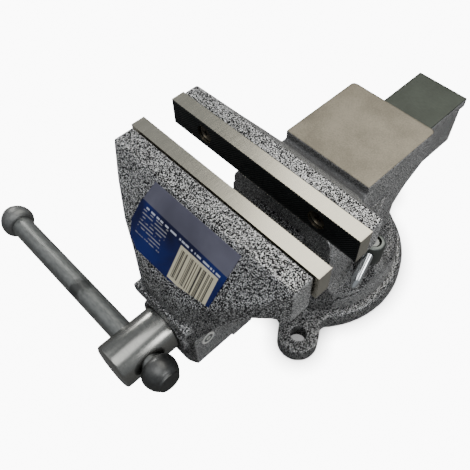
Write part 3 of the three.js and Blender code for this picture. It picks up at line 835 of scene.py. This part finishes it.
def sticker_finish():
    """Off-white disc with a dark ring and a plain dot."""
    made, t, here, shader = material("round sticker print")
    centre = t.add("VectorMath", {"operation": "DISTANCE"})
    t.feed(centre.inputs[0], here)
    centre.inputs[1].default_value = STICKER_CENTRE
    away = centre.outputs["Value"]
    ring = t.times(t.ranged(away, 0.0013, 0.0015), t.ranged(away, 0.0030, 0.0028))
    dot = t.ranged(away, 0.0007, 0.0005)
    ink = t.math("MAXIMUM", t.times(ring, 0.9), dot)
    tone = t.mix(t.noise(here, 700.0), (0.72, 0.72, 0.68, 1), (0.85, 0.84, 0.8, 1))
    t.feed(shader.inputs["Base Color"], t.mix(ink, tone, (0.04, 0.045, 0.04, 1)))
    shader.inputs["Roughness"].default_value = 0.5
    return made


# ---------------------------------------------------------------- pieces that keep their shape

plain = {
    "front_label": label_finish(),
    "round_sticker": sticker_finish(),
    "thrust_washer": bright_zinc,
    "spring_keeper": bright_zinc,
    "keeper_pin": bright_zinc,
    "screw_nut": nut_iron,
    "nut_bolt": bright_zinc,
    "lock_bolt_right": zinc_steel,
    "lock_bolt_left": zinc_steel,
}
for node, finish in plain.items():
    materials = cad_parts[node].data.materials
    materials.clear()
    materials.append(finish)


# ---------------------------------------------------------------- stage

FLOOR_SIZE = 60
FLOOR_TONE = 0.16  # how light the floor is in the metal's reflections
FLOOR_GLOW = 10.0  # how white it is to the eye
FLOOR_SHADE = 0.012  # how far the contact shade reaches
SKY = 0.36
AIM = Vector((0, 0, 0.06))
LAMPS = (  # name, place, size, watts, colour
    ("rear_softbox", (-0.1, 0.75, 1.25), 1.1, 11.5, (1, 0.97, 0.9)),
    ("front_softbox", (-0.9, -1.0, 1.1), 1.2, 2, (1, 1, 1)),
    ("right_softbox", (1.3, 0.1, 0.9), 0.5, 7, (1, 1, 1)),
    ("top_softbox", (0.2, -0.45, 1.4), 0.9, 6.5, (1, 1, 1)),
    ("left_softbox", (-1.3, 0.15, 0.62), 0.28, 5, (1, 0.98, 0.95)),
)


def make_floor():
    """Pale floor that looks white, with painted contact shade near the vise, and gives the metal a
    dark surface to reflect.
    """
    bpy.ops.object.select_all(action="DESELECT")
    bpy.ops.mesh.primitive_plane_add(size=FLOOR_SIZE)
    floor = bpy.context.active_object
    floor.name = "studio_floor"
    pale, t, here, shader = material("pale floor")
    shader.inputs["Base Color"].default_value = grey(FLOOR_TONE)
    shader.inputs["Roughness"].default_value = 0.9
    shader.inputs["Emission Color"].default_value = grey(1)
    seen = t.add("LightPath").outputs["Is Camera Ray"]
    # Painted contact shade: the floor's glow is dimmed where ambient occlusion finds the vise close,
    # round it and in its holes.
    open_sky = t.add("AmbientOcclusion", Distance=FLOOR_SHADE).outputs["AO"]
    glow = t.times(t.math("POWER", open_sky, 2.0), FLOOR_GLOW)
    t.feed(shader.inputs["Emission Strength"], t.times(seen, glow))
    floor.data.materials.append(pale)


def make_world():
    world = bpy.data.worlds.new("studio")
    world.use_nodes = True
    background = world.node_tree.nodes["Background"]
    background.inputs["Color"].default_value = (0.9, 0.95, 1, 1)
    background.inputs["Strength"].default_value = SKY
    bpy.context.scene.world = world


def make_lamps():
    for name, spot, size, watts, tint in LAMPS:
        lamp = bpy.data.lights.new(name, "AREA")
        lamp.energy = watts
        lamp.size = size
        lamp.color = tint
        obj = bpy.data.objects.new(name, lamp)
        obj.location = spot
        obj.rotation_euler = (AIM - Vector(spot)).to_track_quat("-Z", "Y").to_euler()
        bpy.context.scene.collection.objects.link(obj)


def make_camera():
    camera = bpy.data.cameras.new("view")
    camera.lens = 44.007
    camera.sensor_width = 36
    camera.clip_start = 0.01
    view = bpy.data.objects.new("view", camera)
    view.location = (0.12808, -0.18468, 0.33089)
    view.rotation_euler = (0.61111, 0.02025, 0.81241)
    bpy.context.scene.collection.objects.link(view)
    bpy.context.scene.camera = view


make_floor()
make_world()
make_lamps()
make_camera()
